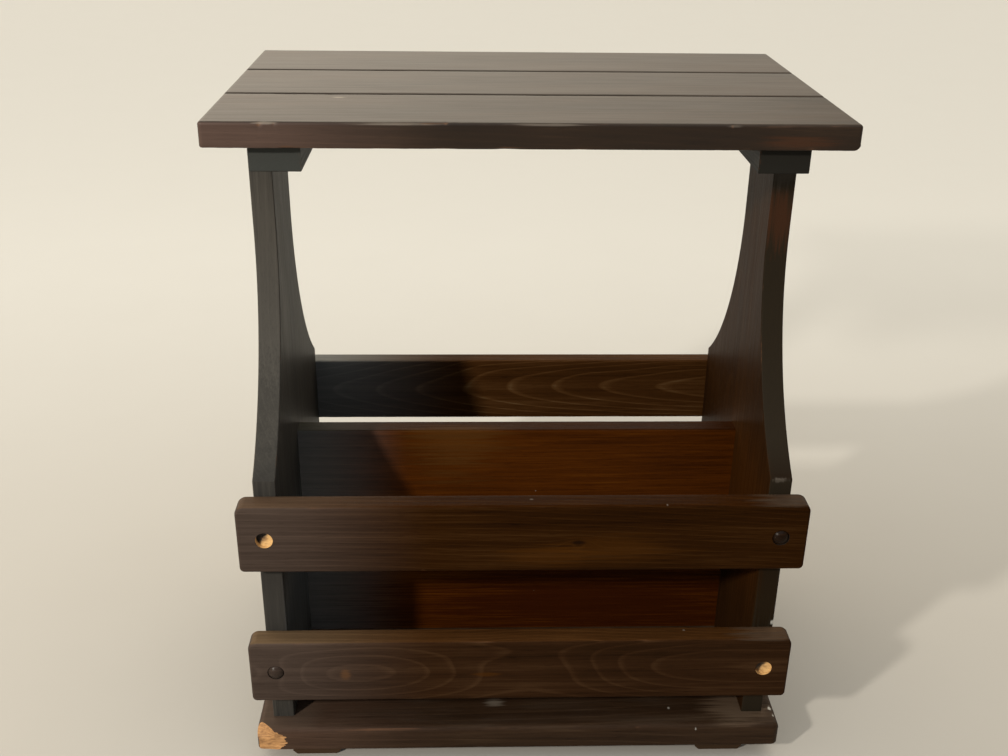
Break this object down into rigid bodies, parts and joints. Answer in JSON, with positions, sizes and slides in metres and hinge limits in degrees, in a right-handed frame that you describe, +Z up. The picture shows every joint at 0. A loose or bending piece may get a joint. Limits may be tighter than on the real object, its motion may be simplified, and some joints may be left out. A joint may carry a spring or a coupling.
{
  "type": "magazine table",
  "caption": "Small side table in dark stained wood: plank top on curved side panels, with magazine pockets between slats, a divider and a base on batten feet.",
  "frame": {"origin": "on the floor, under the middle of the table", "axes": "+X to the right along the slats, +Y to the back, +Z up; the front slats face -Y"},
  "size_m": [0.4, 0.2686, 0.494],
  "materials": {
    "top_wood": "dark stain under a worn satin lacquer",
    "batten_wood": "dark brown stain, satin lacquer",
    "panel_wood": "dark brown stain, satin lacquer",
    "divider_wood": "dark brown stain, satin lacquer",
    "slat_wood": "dark brown stain, satin lacquer",
    "base_wood": "dark brown stain, satin lacquer",
    "plug_wood": "dark brown stain, satin lacquer",
    "dowel_wood": "raw pale wood",
    "screw_steel": "zinc plated, dulled"
  },
  "bodies": {
    "root": {"top_board_front": "top_wood", "top_board_middle": "top_wood", "top_board_back": "top_wood", "top_batten_left": "batten_wood", "top_batten_right": "batten_wood", "side_panel_left": "panel_wood", "side_panel_right": "panel_wood", "divider": "divider_wood", "front_slat_lower": "slat_wood", "front_slat_upper": "slat_wood", "back_slat_lower": "slat_wood", "back_slat_upper": "slat_wood", "base_board": "base_wood", "foot_left": "base_wood", "foot_right": "base_wood", "front_plugs": "plug_wood", "back_plugs": "plug_wood", "divider_dowels": "dowel_wood", "front_slat_screws": "screw_steel", "back_slat_screws": "screw_steel", "board_screws": "screw_steel", "neck_screws": "screw_steel", "base_panel_screws": "screw_steel", "base_divider_screws": "screw_steel", "foot_screws": "screw_steel"}
  },
  "joints": []
}
